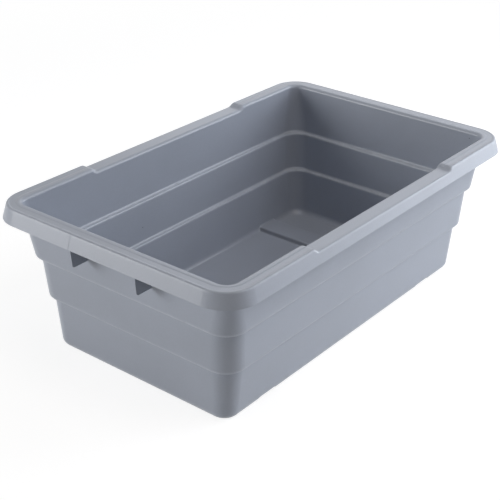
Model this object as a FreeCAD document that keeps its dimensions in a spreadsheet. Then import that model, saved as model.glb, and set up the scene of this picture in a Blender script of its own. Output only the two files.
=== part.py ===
import FreeCAD, Part
import math
import os
import Sketcher
from FreeCAD import Vector

# Cross-stacking bus tub, moulded in one piece.
# Millimetres, +Z up, +X along the length, origin at the middle of the base.
# The tub stands on z = 0, and its halves mirror each other both ways.
# An inset is how far a surface lies inside the skirt's low edge, seen from above.

SIZES = [
    ("length", 638.0, "overall length over the rim's skirt"),
    ("width", 406.0, "overall width over the rim's skirt"),
    ("height", 215.0, "overall height, to the raised ends of the rim"),
    ("wall", 3.0, "wall thickness"),
    ("floorthick", 3.2, "floor thickness"),
    ("ledgethick", 3.0, "thickness of the ledges"),
    ("topinset", 24.5, "inset of the walls at the rim's top"),
    ("topradius", 17.0, "plan radius of the walls' corners at the rim's top"),
    ("upperinset", 31.4, "inset of the upper tier's foot"),
    ("upperradius", 31.0, "plan radius of the upper tier's foot"),
    ("ledgewidth", 6.0, "how far each tier stands out over the next one down"),
    ("ledgeround", 5.4, "round under each tier"),
    ("ledgecove", 3.2, "round between a ledge and the wall above it"),
    ("ledgeedge", 2.4, "round along a ledge's edge"),
    ("upperheight", 136.5, "height of the upper step"),
    ("middleinset", 40.6, "inset of the middle tier's foot"),
    ("middleradius", 29.0, "plan radius of the middle tier's foot"),
    ("middleheight", 76.5, "height of the lower step"),
    ("baseinset", 50.6, "inset of the lower tier's foot"),
    ("baseradius", 21.0, "plan radius of the lower tier's foot"),
    ("baseround", 13.0, "round along the base"),
    ("floorcove", 10.0, "round between the floor and the walls"),
    ("uppersplay", -2.2, "added to the upper foot's inset on the long sides"),
    ("middlesplay", -1.6, "added to the middle foot's inset on the long sides"),
    ("basesplay", 2.0, "added to the lower foot's inset on the long sides"),
    ("rimradius", 46.0, "plan radius of the skirt's corners"),
    ("skirtheight", 19.6, "height of the rim's skirt"),
    ("skirtlean", 6.2, "how far the skirt leans in from its low edge to its top"),
    ("skirtthick", 2.8, "thickness of the skirt"),
    ("webthick", 3.0, "thickness of the rim's top"),
    ("rimround", 3.0, "round along the rim's outer top edge"),
    ("mouthround", 5.0, "round along the rim's inner edge"),
    ("notchdepth", 5.2, "how far the middle of each long rim is lowered"),
    ("notchlength", 300.0, "length of the lowered stretch"),
    ("ramplength", 12.0, "length of the ramp at each end of it"),
    ("gussetthick", 3.0, "thickness of the gussets under the end rims"),
    ("gussetspacing", 108.0, "distance between the two gussets of an end"),
    ("gussetdrop", 25.5, "how far a gusset reaches below the skirt"),
    ("gussetinset", 1.5, "inset of a gusset's outer edge at the skirt"),
    ("gussetlean", 2.0, "how far that edge leans in below the skirt"),
    ("gussetround", 4.0, "round at the gusset's outer low corner"),
    ("channelspacing", 374.0, "distance between the two channels under the base"),
    ("channelmouth", 42.0, "width of a channel at its mouth"),
    ("channelroof", 34.0, "width of a channel at its roof"),
    ("channelheight", 8.0, "height of a channel"),
    ("baselift", 1.8, "how far the base lies higher between the channels"),
    ("channelround", 4.0, "round along a channel's roof"),
    ("ridgewall", 1.4, "how far a ridge stands out past its channel on each side"),
    ("ridgeround", 4.5, "round along the ridge over a channel"),
    ("footround", 2.5, "rounds where channels and ridges meet the base"),
]
ALIASES = [alias for alias, _, _ in SIZES]

doc = FreeCAD.newDocument("bus_tub")
sheet = doc.addObject("Spreadsheet::Sheet", "Sizes")
for row, (alias, value, note) in enumerate(SIZES, start=1):
    sheet.set(f"A{row}", alias)
    sheet.set(f"B{row}", str(value))
    sheet.set(f"C{row}", note)
    sheet.setAlias(f"B{row}", alias)
doc.recompute()


def cell(expression):
    """Name the sheet in front of each alias of an expression."""
    words = expression.replace("(", "( ").replace(")", " )").split()
    return " ".join(f"Sizes.{word}" if word in ALIASES else word for word in words)


def size(alias):
    return float(sheet.get(alias))


def origin_plane(body, role):
    return next(item for item in body.Origin.OriginFeatures if item.Role == role)


def new_sketch(body, name, role, offset):
    """A sketch on one of the body's origin planes, moved along the plane's normal."""
    sketch = body.newObject("Sketcher::SketchObject", name)
    sketch.AttachmentSupport = (origin_plane(body, role), "")
    sketch.MapMode = "FlatFace"
    sketch.setExpression(".AttachmentOffset.Base.z", cell(offset))
    return sketch


def drive(sketch, constraint, expression):
    """Add a constraint whose value comes from the sheet."""
    index = sketch.addConstraint(constraint)
    sketch.setExpression(f"Constraints[{index}]", cell(expression))


def rectangle_section(body, name, height, inset, splay, radius):
    """A rounded rectangle at one height: a level section through rim or walls."""
    sketch = new_sketch(body, name, "XY_Plane", height)
    half_x, half_y, corner = size("length") / 2 - 30, size("width") / 2 - 30, 30
    in_x, in_y = half_x - corner, half_y - corner
    ends = [
        (Vector(-in_x, -half_y, 0), Vector(in_x, -half_y, 0)),
        (Vector(half_x, -in_y, 0), Vector(half_x, in_y, 0)),
        (Vector(in_x, half_y, 0), Vector(-in_x, half_y, 0)),
        (Vector(-half_x, in_y, 0), Vector(-half_x, -in_y, 0)),
    ]
    centres = [(in_x, -in_y), (in_x, in_y), (-in_x, in_y), (-in_x, -in_y)]
    for index in range(4):
        sketch.addGeometry(Part.LineSegment(*ends[index]), False)
        circle = Part.Circle(Vector(*centres[index], 0), Vector(0, 0, 1), corner)
        start = (index - 1) * math.pi / 2
        sketch.addGeometry(Part.ArcOfCircle(circle, start, start + math.pi / 2), False)
    south, east, north, west = 0, 2, 4, 6
    for line in (south, east, north, west):
        arc, following = line + 1, (line + 2) % 8
        sketch.addConstraint(Sketcher.Constraint("Tangent", line, 2, arc, 1))
        sketch.addConstraint(Sketcher.Constraint("Tangent", arc, 2, following, 1))
    for arc in (3, 5, 7):
        sketch.addConstraint(Sketcher.Constraint("Equal", 1, arc))
    sketch.addConstraint(Sketcher.Constraint("Horizontal", north))
    sketch.addConstraint(Sketcher.Constraint("Vertical", west))
    sketch.addConstraint(Sketcher.Constraint("Symmetric", south, 1, south, 2, -2))
    sketch.addConstraint(Sketcher.Constraint("Symmetric", east, 1, east, 2, -1))
    span_x = Sketcher.Constraint("DistanceX", west, 1, east, 1, 2 * half_x)
    span_y = Sketcher.Constraint("DistanceY", south, 1, north, 1, 2 * half_y)
    drive(sketch, span_x, f"length - 2 * ({inset})")
    drive(sketch, span_y, f"width - 2 * ({inset} + {splay})")
    drive(sketch, Sketcher.Constraint("Radius", 1, corner), radius)
    return sketch


def loft(body, kind, name, low, high):
    """A straight-sided loft from the higher of two level sections down to the lower one."""
    feature = body.newObject(f"PartDesign::{kind}Loft", name)
    feature.Profile = rectangle_section(body, f"{name}High", *high)
    feature.Sections = [rectangle_section(body, f"{name}Low", *low)]
    feature.Ruled = True
    doc.recompute()
    return feature


def prism(body, kind, name, sketch, length):
    """A pad or pocket that reaches as far to both sides of its sketch."""
    feature = body.newObject(f"PartDesign::{kind}", name)
    feature.Profile = sketch
    feature.SideType = "Symmetric"
    feature.setExpression("Length", cell(length))
    doc.recompute()
    return feature


def fillet(body, name, radius, chosen):
    """Round the edges of the body's tip for which chosen(edge) holds."""
    base = body.Tip
    names = [f"Edge{i}" for i, edge in enumerate(base.Shape.Edges, start=1) if chosen(edge)]
    feature = body.newObject("PartDesign::Fillet", name)
    feature.Base = (base, names)
    feature.setExpression("Radius", cell(radius))
    doc.recompute()
    return feature


def reach(edge):
    """The corner of an edge's box that lies furthest out, and its lowest and highest z."""
    box = edge.BoundBox
    return max(-box.XMin, box.XMax), max(-box.YMin, box.YMax), box.ZMin, box.ZMax


def level_loop(height, inset, splay):
    """A test for the edges of one level section, straight ones and corners alike."""
    end, side = size("length") / 2 - inset, size("width") / 2 - inset - splay

    def chosen(edge):
        x, y, low, high = reach(edge)
        flat = abs(low - height) < 0.01 and abs(high - height) < 0.01
        return flat and (abs(x - end) < 0.01 or abs(y - side) < 0.01)

    return chosen


def crosswise_at(*heights):
    """A test for straight edges along Y at any of some heights, between the ends."""
    def chosen(edge):
        box = edge.BoundBox
        across = box.XLength < 0.01 and box.ZLength < 0.01 and box.YLength > size("width") / 3
        return across and any(abs(box.ZMin - height) < 0.01 for height in heights)

    return chosen


def closed_outline(sketch, corners):
    """Straight lines through corners, each an expression and a first guess per axis."""
    count = len(corners)
    places = [Vector(across[1], up[1], 0) for across, up in corners]
    lines = [
        sketch.addGeometry(Part.LineSegment(places[i], places[(i + 1) % count]), False)
        for i in range(count)
    ]
    for i, (across, up) in enumerate(corners):
        sketch.addConstraint(Sketcher.Constraint("Coincident", lines[i - 1], 2, lines[i], 1))
        drive(sketch, Sketcher.Constraint("DistanceX", lines[i], 1, across[1]), across[0])
        drive(sketch, Sketcher.Constraint("DistanceY", lines[i], 1, up[1]), up[0])


# Insets, in millimetres from the skirt's low edge, as expressions of the sheet
HOLLOW_LEAN = "skirtlean * (skirtheight - webthick) / skirtheight"
MIDDLE_HEAD = "upperinset + ledgewidth"
LOWER_HEAD = "middleinset + ledgewidth"


def notch_outline(sketch, drop):
    """What is cut away over a long rim's lowered stretch: a flat between S-shaped ramps.

    The outline lies lower by the drop, and then shapes the underside of the rim's top.
    """
    depth, ramp = size("notchdepth"), size("ramplength")
    turn = 2 * math.atan(depth / ramp)
    radius = ramp / (2 * math.sin(turn))
    flat_end = size("notchlength") / 2
    ramp_end = flat_end + ramp
    high = size("height")
    low, roof = high - depth, high + size("skirtheight")
    down, up = -math.pi / 2, math.pi / 2

    def line(*ends):
        points = [Vector(x, z, 0) for x, z in ends]
        return sketch.addGeometry(Part.LineSegment(*points), False)

    def arc(x, z, start, end):
        circle = Part.Circle(Vector(x, z, 0), Vector(0, 0, 1), radius)
        return sketch.addGeometry(Part.ArcOfCircle(circle, start, end), False)

    def fix(kind, *places):
        sketch.addConstraint(Sketcher.Constraint(kind, *places))

    flat = line((-flat_end, low), (flat_end, low))
    right_low = arc(flat_end, low + radius, down, down + turn)
    right_high = arc(ramp_end, high - radius, up, up + turn)
    left_low = arc(-flat_end, low + radius, down - turn, down)
    left_high = arc(-ramp_end, high - radius, up - turn, up)
    east = line((ramp_end, high), (ramp_end, roof))
    top = line((ramp_end, roof), (-ramp_end, roof))
    west = line((-ramp_end, roof), (-ramp_end, high))
    fix("Tangent", flat, 2, right_low, 1)
    fix("Tangent", right_low, 2, right_high, 2)
    fix("Tangent", flat, 1, left_low, 2)
    fix("Tangent", left_low, 1, left_high, 1)
    for other in (right_high, left_low, left_high):
        fix("Equal", right_low, other)
    fix("Coincident", right_high, 1, east, 1)
    fix("Coincident", east, 2, top, 1)
    fix("Coincident", top, 2, west, 1)
    fix("Coincident", west, 2, left_high, 2)
    fix("Vertical", east)
    fix("Vertical", west)
    fix("Horizontal", top)
    fix("Vertical", right_high, 1, right_high, 3)
    fix("Vertical", left_high, 2, left_high, 3)
    fix("Symmetric", flat, 1, flat, 2, -2)
    fix("Horizontal", right_high, 1, left_high, 2)
    span = Sketcher.Constraint("DistanceX", flat, 1, flat, 2, 2 * flat_end)
    run = Sketcher.Constraint("DistanceX", flat, 2, right_high, 1, ramp)
    rise = Sketcher.Constraint("DistanceY", flat, 2, right_high, 1, depth)
    over = Sketcher.Constraint("DistanceY", east, 1, east, 2, roof - high)
    place = Sketcher.Constraint("DistanceY", flat, 1, low)
    drive(sketch, span, "notchlength")
    drive(sketch, run, "ramplength")
    drive(sketch, rise, "notchdepth")
    drive(sketch, over, "skirtheight")
    drive(sketch, place, f"height - notchdepth - {drop}")


def lower_sides(body, name, drop):
    """Lower the middle of both long sides at once."""
    sketch = new_sketch(body, f"{name}Outline", "XZ_Plane", "0")
    notch_outline(sketch, drop)
    prism(body, "Pocket", name, sketch, "2 * width")


def underside_outline(sketch, out, lift, below):
    """What the base leaves free from below: two channels and the lifted middle.

    Moved out and up by a wall, the same outline shapes the floor and its ridges.
    """
    half = size("channelspacing") / 2
    mouth, roof = size("channelmouth") / 2, size("channelroof") / 2
    rise, middle = size("channelheight"), size("baselift")
    axis = "channelspacing / 2"
    right = [
        ((f"{axis} - channelmouth / 2 - {out}", half - mouth), (f"baselift + {lift}", middle)),
        ((f"{axis} - channelroof / 2 - {out}", half - roof), (f"channelheight + {lift}", rise)),
        ((f"{axis} + channelroof / 2 + {out}", half + roof), (f"channelheight + {lift}", rise)),
        ((f"{axis} + channelmouth / 2 + {out}", half + mouth), (lift, 0)),
        ((f"{axis} + channelmouth / 2 + {out}", half + mouth), (below, -rise)),
    ]
    left = [((f"-( {x} )", -guess), up) for (x, guess), up in reversed(right)]
    closed_outline(sketch, right + left)


def cut_underside(body, name, out, lift, below):
    sketch = new_sketch(body, f"{name}Outline", "XZ_Plane", "0")
    underside_outline(sketch, out, lift, below)
    prism(body, "Pocket", name, sketch, "2 * width")


def rim_hollow():
    """The space under the rim's top, inside the skirt."""
    body = doc.addObject("PartDesign::Body", "RimHollowBody")
    loft(
        body, "Additive", "RimHollow",
        ("height - skirtheight", "skirtthick", "0", "rimradius - skirtthick"),
        ("height - webthick", f"skirtthick + {HOLLOW_LEAN}", "0",
         f"rimradius - skirtthick - {HOLLOW_LEAN}"),
    )
    lower_sides(body, "HollowNotch", "webthick")
    return body


def inside():
    """The space inside the walls, over the ledges, the floor and its ridges."""
    body = doc.addObject("PartDesign::Body", "InsideBody")
    wall = size("wall")
    tiers = [
        ("Upper", "upper", "upperheight + ledgethick", "ledgecove",
         ("height + webthick", "topinset + wall", "0", "topradius - wall")),
        ("Middle", "middle", "middleheight + ledgethick", "ledgecove",
         ("upperheight + ledgethick", f"{MIDDLE_HEAD} + wall", "uppersplay",
          "upperradius - wall - ledgewidth / 2")),
        ("Lower", "base", "floorthick", "floorcove",
         ("middleheight + ledgethick", f"{LOWER_HEAD} + wall", "middlesplay",
          "middleradius - wall - ledgewidth / 2")),
    ]
    ledges = {
        "Middle": (size("upperheight") + size("ledgethick"), size("upperinset"), size("uppersplay")),
        "Lower": (size("middleheight") + size("ledgethick"), size("middleinset"), size("middlesplay")),
    }
    floors = {
        "Upper": size("upperheight") + size("ledgethick"),
        "Middle": size("middleheight") + size("ledgethick"),
        "Lower": size("floorthick"),
    }
    for name, foot, height, cove, head in tiers:
        low = (height, f"{foot}inset + wall", f"{foot}splay", f"{foot}radius - wall")
        loft(body, "Additive", f"{name}Inside", low, head)
        around = level_loop(floors[name], size(f"{foot}inset") + wall, size(f"{foot}splay"))
        fillet(body, f"{name}Cove", cove, around)
        if name in ledges:
            level, inset, splay = ledges[name]
            edge = level_loop(level, inset + wall + size("ledgewidth"), splay)
            fillet(body, f"{name}LedgeEdge", "ledgeedge", edge)
    cut_underside(body, "Ridges", "ridgewall", "floorthick", "0")
    crest = size("channelheight") + size("floorthick")
    feet = size("floorthick"), size("floorthick") + size("baselift")
    fillet(body, "RidgeCrests", "ridgeround", crosswise_at(crest))
    fillet(body, "RidgeFeet", "footround", crosswise_at(*feet))
    return body


def add_gussets(body):
    """Two upright plates under each end's rim, from the skirt to the wall."""
    end, top = size("length") / 2, size("height") - size("webthick") / 2
    skirt, buried = size("height") - size("skirtheight"), size("upperinset") + size("wall") / 2
    foot = size("height") - size("skirtheight") - size("gussetdrop")
    inset = size("gussetinset")
    level = ("height - webthick / 2", top), ("height - skirtheight", skirt)
    low = ("height - skirtheight - gussetdrop", foot)
    corners = [
        ((f"length / 2 - skirtthick / 2 - {HOLLOW_LEAN}", end - inset), level[0]),
        (("length / 2 - gussetinset", end - inset), level[1]),
        (("length / 2 - gussetinset - gussetlean", end - inset), low),
        (("length / 2 - upperinset - wall / 2", end - buried), low),
        (("length / 2 - upperinset - wall / 2", end - buried), level[0]),
    ]
    sketch = new_sketch(body, "GussetOutline", "XZ_Plane", "gussetspacing / 2")
    closed_outline(sketch, corners)
    closed_outline(sketch, [((f"-( {x} )", -guess), up) for (x, guess), up in corners])
    plate = prism(body, "Pad", "Gussets", sketch, "gussetthick")
    mirrored = body.newObject("PartDesign::Mirrored", "MirroredGussets")
    mirrored.Originals = [plate]
    mirrored.MirrorPlane = (origin_plane(body, "XZ_Plane"), [""])
    body.Tip = mirrored
    doc.recompute()

    def low_corner(edge):
        x, _, low, high = reach(edge)
        level = abs(low - foot) < 0.01 and high - low < 0.01
        return level and x > end - buried + 5 and edge.BoundBox.XLength < 0.01

    fillet(body, "GussetCorners", "gussetround", low_corner)


def add_walls(body):
    """Three tiers, each standing out over the next one down, with rounded feet."""
    tiers = [
        ("Upper", "upper", "upperheight", "ledgeround",
         ("height - webthick / 2", "topinset", "0", "topradius")),
        ("Middle", "middle", "middleheight", "ledgeround",
         ("upperheight", MIDDLE_HEAD, "uppersplay", "upperradius - ledgewidth / 2")),
        ("Lower", "base", "0", "baseround",
         ("middleheight", LOWER_HEAD, "middlesplay", "middleradius - ledgewidth / 2")),
    ]
    heights = {"Upper": size("upperheight"), "Middle": size("middleheight"), "Lower": 0}
    for name, foot, height, rounding, head in tiers:
        low = (height, f"{foot}inset", f"{foot}splay", f"{foot}radius")
        loft(body, "Additive", f"{name}Walls", low, head)
        around = level_loop(heights[name], size(f"{foot}inset"), size(f"{foot}splay"))
        fillet(body, f"{name}Foot", rounding, around)


def cut_body(body, name, tool):
    """Take another body's shape out of this one."""
    cut = body.newObject("PartDesign::Boolean", name)
    cut.Type = "Cut"
    cut.setObjects([tool])
    doc.recompute()


def round_rim(body):
    """Round the rim's outer top edge and the mouth, along the lowered stretches too."""
    lowest = size("height") - size("notchdepth") - 0.1
    end, side = size("length") / 2, size("width") / 2
    lean, mouth = size("skirtlean") + 0.1, size("topinset") + size("wall") - 1

    def outer(edge):
        box = edge.BoundBox
        x, _, low, _ = reach(edge)
        nearest_y = min(abs(box.YMin), abs(box.YMax))
        return low > lowest and (x > end - lean or nearest_y > side - lean)

    def inner(edge):
        x, y, low, _ = reach(edge)
        return low > lowest and x < end - mouth and y < side - mouth

    fillet(body, "Mouth", "mouthround", inner)
    fillet(body, "RimEdge", "rimround", outer)


def tub():
    """The whole moulding."""
    body = doc.addObject("PartDesign::Body", "Tub")
    body.Label = "tub"
    loft(
        body, "Additive", "RimBlock",
        ("height - skirtheight", "0", "0", "rimradius"),
        ("height", "skirtlean", "0", "rimradius - skirtlean"),
    )
    cut_body(body, "CutRimHollow", rim_hollow())
    add_gussets(body)
    add_walls(body)
    lower_sides(body, "Notch", "0")
    cut_body(body, "CutInside", inside())
    cut_underside(body, "Channels", "0", "0", "0 - channelheight")
    fillet(body, "ChannelRoofs", "channelround", crosswise_at(size("channelheight")))
    round_rim(body)
    return body


parts = [tub()]
doc.recompute()

for item in doc.Objects:
    if "Invalid" in item.State or "Error" in item.State:
        raise RuntimeError(f"{item.Label} did not build: {item.State}")
for part in parts:
    if part.Shape.isNull() or not part.Shape.isValid():
        raise RuntimeError(f"{part.Label} has no valid shape")

os.makedirs("parts", exist_ok=True)
for part in parts:
    part.Shape.exportStep(f"parts/{part.Label}.step")
    box = part.Shape.BoundBox
    spans = [round(span, 2) for span in (box.XLength, box.YLength, box.ZLength)]
    print(part.Label, len(part.Shape.Solids), "solid", spans, round(part.Shape.Volume))
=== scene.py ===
import bpy, math
from mathutils import Matrix, Vector


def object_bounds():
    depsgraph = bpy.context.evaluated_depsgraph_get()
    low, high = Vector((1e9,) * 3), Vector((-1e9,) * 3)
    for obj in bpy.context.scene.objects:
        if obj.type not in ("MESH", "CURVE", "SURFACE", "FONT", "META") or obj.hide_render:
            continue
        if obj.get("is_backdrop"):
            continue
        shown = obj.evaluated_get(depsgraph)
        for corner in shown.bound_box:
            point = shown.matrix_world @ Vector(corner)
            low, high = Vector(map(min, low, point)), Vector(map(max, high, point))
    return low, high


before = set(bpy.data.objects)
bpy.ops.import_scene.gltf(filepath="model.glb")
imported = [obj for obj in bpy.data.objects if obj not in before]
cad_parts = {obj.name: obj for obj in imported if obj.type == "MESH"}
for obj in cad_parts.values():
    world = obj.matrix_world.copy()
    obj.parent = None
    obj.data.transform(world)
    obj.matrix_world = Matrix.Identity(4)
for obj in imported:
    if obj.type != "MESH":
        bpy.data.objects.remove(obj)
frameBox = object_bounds()  # the CAD box, kept before anything is added
for item in bpy.context.selected_objects:  # the import leaves the tub selected
    item.select_set(False)
scene = bpy.context.scene
scene.view_settings.view_transform = "Standard"
print("frame loaded:", list(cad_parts))

# The photograph's viewpoint, in metres and degrees of the tub's own frame
viewpoint = {
    "place": (-1.1268, -0.8868, 0.8330),
    "azimuth": -142.776,  # where the camera's back points, from +X
    "elevation": 28.22,
    "roll": 0.964,
    "lens": 81.8,
    "sensor": 36,
    "shift": (-0.068, 0.027),
    "farthest": 60,
}


def wayTo(azimuth, elevation):  # both in degrees, from the tub outward
    turn, tip = math.radians(azimuth), math.radians(elevation)
    return Vector((math.cos(turn) * math.cos(tip), math.sin(turn) * math.cos(tip), math.sin(tip)))


def addCamera(settings):
    back = wayTo(settings["azimuth"], settings["elevation"])
    roll = math.radians(settings["roll"])
    level = Vector((0, 0, 1)).cross(back).normalized()
    right = level * math.cos(roll) + back.cross(level) * math.sin(roll)
    data = bpy.data.cameras.new("photoCamera")
    data.lens = settings["lens"]
    data.sensor_width = settings["sensor"]
    data.shift_x, data.shift_y = settings["shift"]
    data.clip_end = settings["farthest"]
    camera = bpy.data.objects.new("photoCamera", data)
    bpy.context.collection.objects.link(camera)
    facing = Matrix((right, back.cross(right), back)).transposed().to_4x4()
    camera.matrix_world = Matrix.Translation(Vector(settings["place"])) @ facing
    scene.camera = camera


addCamera(viewpoint)
print("camera placed")


class Wire:  # an output of a shader node, for use in sums
    def __init__(self, surface, node, output=0):
        self.surface = surface
        self.node = node
        self.socket = node.outputs[output] if len(node.outputs) else None

    def take(self, output):
        return Wire(self.surface, self.node, output)

    def sum(self, operation, *terms):
        return self.surface.add("Math", {"operation": operation}, dict(enumerate(terms)))

    def __add__(self, other):
        return self.sum("ADD", self, other)

    def __radd__(self, other):
        return self.sum("ADD", other, self)

    def __sub__(self, other):
        return self.sum("SUBTRACT", self, other)

    def __rsub__(self, other):
        return self.sum("SUBTRACT", other, self)

    def __mul__(self, other):
        return self.sum("MULTIPLY", self, other)

    def __rmul__(self, other):
        return self.sum("MULTIPLY", other, self)

    def __abs__(self):
        return self.sum("ABSOLUTE", self)

    def between(self, start, end):  # 0 at the start, 1 at the end, smooth on the way
        ends = {"From Min": start, "From Max": end, "Value": self}
        return self.surface.add("MapRange", {"interpolation_type": "SMOOTHSTEP"}, ends)


class Surface:  # the nodes of a material or of the world
    def __init__(self, owner, ending="OutputMaterial"):
        owner.use_nodes = True
        self.owner = owner
        self.ending = ending
        self.tree = owner.node_tree
        self.tree.nodes.clear()

    def add(self, kind, settings, values, output=0):
        node = self.tree.nodes.new("ShaderNode" + kind)
        for name, setting in settings.items():
            setattr(node, name, setting)
        for name, value in values.items():
            if isinstance(value, Wire):
                self.tree.links.new(value.socket, node.inputs[name])
            else:
                node.inputs[name].default_value = value
        return Wire(self, node, output)

    def noise(self, place, scale, detail, roughness=0.5):
        values = {"Vector": place, "Scale": scale, "Detail": detail, "Roughness": roughness}
        return self.add("TexNoise", {}, values)

    def bump(self, distance, height, **values):
        values = {"Distance": distance, "Height": height, **values}
        return self.add("Bump", {}, values, "Normal")

    def blend(self, mask, low, high):  # between two colours
        settings = {"data_type": "RGBA"}
        return self.add("Mix", settings, {0: mask, 6: low, 7: high}, 2)  # its colour sockets

    def finish(self, shader):
        self.add(self.ending, {}, {"Surface": shader})
        return self.owner


# Satin grey plastic, as it comes out of a lightly textured mould
plastic = {
    "colour": (0.357, 0.388, 0.452, 1),
    "pale": (0.388, 0.421, 0.491, 1),  # where the colour runs lighter
    "scuffAndHighlight": (0.50, 0.536, 0.60, 1),  # rubbed edges, and painted highlight on the rim's outer edge and the steps
    "speck": (0.10, 0.10, 0.11, 1),  # grains caught in the plastic
    "paintedShade": (0.20, 0.215, 0.25, 1),  # painted shade on the gussets under the rim and along the ridges' feet
    "roughness": 0.31,
    "cloudRoughness": 0.10,  # how much each of these adds to the roughness
    "mottleRoughness": 0.06,
    "scuffRoughness": 0.15,
    "cloudScale": 7,  # broad flow marks, about 14 cm
    "cloudShare": 0.7,  # of the paler tone, the mottle gives the rest
    "mottleScale": 420,
    "grainScale": 1500,  # the mould's texture, about 0.7 mm
    "grainDepth": 0.00004,
    "grainStrength": 0.6,
    "speckCells": 24,  # one cell every 4 cm, few of them with a speck
    "speckSize": 0.022,
    "speckShare": 0.95,
    "patchScale": 60,  # breaks up the scuffs and their painted highlight
    # how strongly the rim's outer top edge takes the paler colour: wear and a painted highlight
    "rimScuffAndHighlight": 0.5,
    # the same along each step, inside and out: wear and a painted highlight on the step lines
    "stepScuffAndHighlight": 0.85,
    # how dark the painted shade goes on the gussets and beside the ridges
    "gussetShade": 0.9,
    "ridgeShade": 0.8,
    "ior": 1.49,
}

# Where the rim's top, the steps and the gussets are, in metres
tubPlaces = {
    "halfLength": 0.319,
    "halfWidth": 0.203,
    "rimCorner": 0.046,
    "rimTop": 0.215,
    "rimEdge": (0.0065, 0.005),  # measured in from the skirt, and how far it reaches
    "rimEdgeDrop": (0.001, 0.004),  # the same, down from the rim's top
    "beadOutside": (0.0080, 0.0108),  # the top dips between these two,
    "beadInside": (0.0172, 0.0200),  # measured in from the skirt
    "beadDrop": (0.003, 0.001),
    "beadDepth": 0.0006,
    "steps": (0.1365, 0.0765),
    "stepScuffAndHighlight": (0.0025, 0.0045),  # up from each step, and how far the wear and painted highlight reach
    # where the painted shade on the gussets and along the ridges goes
    "gusset": 0.054,
    "gussetReach": 0.0022,
    "gussetTop": (0.1935, 0.1960),
    "gussetFoot": (0.284, 0.289),
    "ridge": 0.187,
    "ridgeFoot": 0.0205,
    "ridgeReach": 0.0040,
    "ridgeTop": (0.016, 0.020),
    "skirtFace": (0.310, 0.312),
    "sinkReach": 0.0022,
    "sinkDepth": 0.00025,
}


def rimInset(x, y, places):  # how far inside the skirt a point lies, corners too
    corner = places["rimCorner"]
    across = abs(x) - (places["halfLength"] - corner)
    along = abs(y) - (places["halfWidth"] - corner)
    outX, outY = (part.sum("MAXIMUM", part, 0.0) for part in (across, along))
    square = outX * outX + outY * outY
    rounded = square.sum("SQRT", square)
    flat = across.sum("MINIMUM", across.sum("MAXIMUM", across, along), 0.0)
    return corner - rounded - flat


def near(wire, place, reach):  # 1 on a place, falling to 0 a reach away
    return 1 - abs(wire - place).between(0, reach)


def rubbedAndHighlitEdges(surface, look, places, place, z, inset):  # wear, and painted highlight, on the rim's outer top and the steps
    fromSkirt, rimReach = places["rimEdge"]
    drop, dropReach = places["rimEdgeDrop"]
    rimEdge = near(inset, fromSkirt, rimReach) * near(z, places["rimTop"] - drop, dropReach)
    rise, stepReach = places["stepScuffAndHighlight"]
    upperStep, lowerStep = (near(z, height + rise, stepReach) for height in places["steps"])
    patchy = surface.noise(place, look["patchScale"], 4).between(0.48, 0.7)
    rimScuffAndHighlight = rimEdge * patchy * look["rimScuffAndHighlight"]
    return rimScuffAndHighlight + (upperStep + lowerStep) * (patchy * 0.5 + 0.5) * look["stepScuffAndHighlight"]


def paintedShadeMask(surface, look, places, x, y, z):  # painted shade on the gussets' side faces and along the ridges' feet
    facing = surface.add("NewGeometry", {}, {}, "Normal")
    sideways = surface.add("SeparateXYZ", {}, {"Vector": facing}, "Y")
    gusset = near(abs(y), places["gusset"], places["gussetReach"])
    gusset = gusset * abs(sideways).between(0.85, 0.95) * (1 - z.between(*places["gussetTop"]))
    gusset = gusset * abs(x).between(*places["gussetFoot"])
    ridge = near(abs(abs(x) - places["ridge"]), places["ridgeFoot"], places["ridgeReach"])
    ridge = ridge * abs(sideways.take("X")).between(0.3, 0.75)
    ridge = ridge * (1 - z.between(*places["ridgeTop"]))
    return gusset * look["gussetShade"] + ridge * look["ridgeShade"]


def specks(surface, look, place):  # a grain in the middle of a few cells
    values = {"Vector": place, "Scale": look["speckCells"]}
    cell = surface.add("TexVoronoi", {}, values, "Distance")
    chance = surface.add("SeparateColor", {}, {"Color": cell.take("Color")}, "Red")
    speck = 1 - cell.between(look["speckSize"] * 0.7, look["speckSize"])
    return speck * chance.sum("GREATER_THAN", chance, look["speckShare"])


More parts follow.
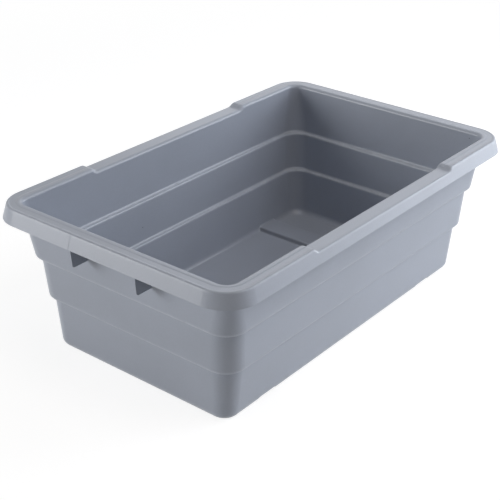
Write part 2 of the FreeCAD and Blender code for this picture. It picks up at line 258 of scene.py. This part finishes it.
def makePlastic(look, places):
    surface = Surface(bpy.data.materials.new("satinGreyPlastic"))
    place = surface.add("TexCoord", {}, {}, "Object")
    x = surface.add("SeparateXYZ", {}, {"Vector": place}, "X")
    y, z = x.take("Y"), x.take("Z")
    cloud = surface.noise(place, look["cloudScale"], 3, 0.55)
    mottle = surface.noise(place, look["mottleScale"], 2)
    grain = surface.noise(place, look["grainScale"], 1)
    inset = rimInset(x, y, places)
    rubbedAndHighlit = rubbedAndHighlitEdges(surface, look, places, place, z, inset)

    mottleShare = 1 - look["cloudShare"]
    shade = cloud.between(0.3, 0.7) * look["cloudShare"] + mottle.between(0.35, 0.65) * mottleShare
    colour = surface.blend(shade, look["colour"], look["pale"])
    # paler colour on the rim's edge and the steps: wear, and painted highlight
    colour = surface.blend(rubbedAndHighlit, colour, look["scuffAndHighlight"])
    # painted shade on the gussets under the rim and by the ridges
    colour = surface.blend(paintedShadeMask(surface, look, places, x, y, z), colour, look["paintedShade"])
    colour = surface.blend(specks(surface, look, place), colour, look["speck"])
    roughness = look["roughness"] + (cloud - 0.5) * look["cloudRoughness"]
    roughness = roughness + (mottle - 0.5) * look["mottleRoughness"]
    roughness = roughness + rubbedAndHighlit * look["scuffRoughness"]

    # the rim's top dips between two beads, and the near skirt sinks a little before one gusset
    dip = inset.between(*places["beadOutside"]) * (1 - inset.between(*places["beadInside"]))
    dip = dip * z.between(*(places["rimTop"] - drop for drop in places["beadDrop"]))
    sink = near(y, places["gusset"], places["sinkReach"]) * (0 - x).between(*places["skirtFace"])
    bump = surface.bump(look["grainDepth"], grain, Strength=look["grainStrength"])
    bump = surface.bump(places["beadDepth"], 1 - dip, Normal=bump)
    bump = surface.bump(places["sinkDepth"], 1 - sink, Normal=bump)
    shader = surface.add("BsdfPrincipled", {}, {
        "Base Color": colour,
        "Roughness": roughness,
        "Normal": bump,
        "IOR": look["ior"],
    })
    return surface.finish(shader)


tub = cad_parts["tub"]
tubPlastic = makePlastic(plastic, tubPlaces)
for slot in tub.material_slots:
    slot.material = tubPlastic
print("tub finished in", tubPlastic.name)

# White studio sweep: it glows for the camera, and still shows the tub's shadow
studio = {
    "floorSize": 30,
    "floorHeight": -0.0005,
    "floorColour": (0.8, 0.8, 0.8, 1),
    "shadowColour": (0.3, 0.3, 0.3, 1),
    "glow": 0.84,
    "paleRing": (0.36, 3.2),  # squares of the radii where the floor starts and ends turning white
    "white": (1, 1, 1, 1),
    "unseenSky": (0, 0, 0, 1),  # the soft boxes give all the light
}


def seenDirectly(surface):  # 1 for the camera and for what shines or is clear
    path = surface.add("LightPath", {}, {}, "Is Camera Ray")
    both = path + path.take("Is Glossy Ray")
    return both.sum("MINIMUM", both + path.take("Is Transmission Ray"), 1.0)


def makeFloor(look):
    surface = Surface(bpy.data.materials.new("studioFloor"))
    plain = surface.add("BsdfDiffuse", {}, {"Color": look["floorColour"]})
    shadowed = surface.add("BsdfDiffuse", {}, {"Color": look["shadowColour"]})
    glow = surface.add("Emission", {}, {"Color": look["white"], "Strength": look["glow"]})
    lit = surface.add("AddShader", {}, {0: shadowed, 1: glow})
    place = surface.add("TexCoord", {}, {}, "Object")
    x = surface.add("SeparateXYZ", {}, {"Vector": place}, "X")
    y = x.take("Y")
    away = (x * x + y * y).between(*look["paleRing"])
    white = surface.add("Emission", {}, {"Color": look["white"], "Strength": 1.0})
    shown = surface.add("MixShader", {}, {0: away, 1: lit, 2: white})
    shader = surface.add("MixShader", {}, {0: seenDirectly(surface), 1: plain, 2: shown})
    return surface.finish(shader)


def addFloor(look):
    bpy.ops.mesh.primitive_plane_add(size=look["floorSize"], location=(0, 0, look["floorHeight"]))
    floor = bpy.context.object
    floor.name = "studioFloor"
    bpy.ops.object.transform_apply(location=True, rotation=False, scale=False)
    floor.data.materials.append(makeFloor(look))
    floor.select_set(False)
    floor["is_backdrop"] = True


def lightWorld(look):
    surface = Surface(bpy.data.worlds.new("studioWorld"), "OutputWorld")
    unseen = surface.add("Background", {}, {"Color": look["unseenSky"]})
    white = surface.add("Background", {}, {"Color": look["white"]})
    sky = surface.add("MixShader", {}, {0: seenDirectly(surface), 1: unseen, 2: white})
    scene.world = surface.finish(sky)


addFloor(studio)
lightWorld(studio)
print("studio laid out")

# Soft boxes: the way to each from the tub, how far, width and height, power and tint
softBoxes = {
    "sideLowBox": {"way": (-32, 14), "distance": 2.1, "size": (1.5, 1.2), "power": 29,
                   "tint": (0.90, 0.95, 1)},
    "sideHighBox": {"way": (-52, 42), "distance": 3, "size": (1.8, 1.4), "power": 20,
                    "tint": (0.88, 0.92, 1)},
    "frontBox": {"way": (-70, 20), "distance": 3, "size": (1.2, 1.0), "power": 8,
                 "tint": (0.95, 0.95, 1)},
    "frontHighBox": {"way": (-100, 55), "distance": 3, "size": (1.2, 1.0), "power": 9.5,
                     "tint": (1, 0.86, 0.70)},
    "endBox": {"way": (142, 14), "distance": 3, "size": (1.5, 1.4), "power": 46,
               "tint": (1, 1, 1)},
    "backBox": {"way": (30, 30), "distance": 3, "size": (1.8, 1.4), "power": 7.6,
                "tint": (0.90, 0.92, 1)},
    "overheadBox": {"way": (0, 89), "distance": 3, "size": (1.8, 1.4), "power": 12.5,
                    "tint": (1, 1, 1)},
}
tubMiddle = Vector((0, 0, 0.1))  # what every box faces


def addSoftBox(name, box):
    data = bpy.data.lights.new(name, "AREA")
    data.shape = "RECTANGLE"
    data.size, data.size_y = box["size"]
    data.energy = box["power"]
    data.color = box["tint"]
    lamp = bpy.data.objects.new(name, data)
    bpy.context.collection.objects.link(lamp)
    way = wayTo(*box["way"])
    facing = way.to_track_quat("Z", "Y").to_matrix().to_4x4()
    lamp.matrix_world = Matrix.Translation(tubMiddle + way * box["distance"]) @ facing


for name, box in softBoxes.items():
    addSoftBox(name, box)
print("soft boxes lit")

boxes = {"frame": frameBox, "visual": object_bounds()}
boxes = {name: [list(corner) for corner in box] for name, box in boxes.items()}
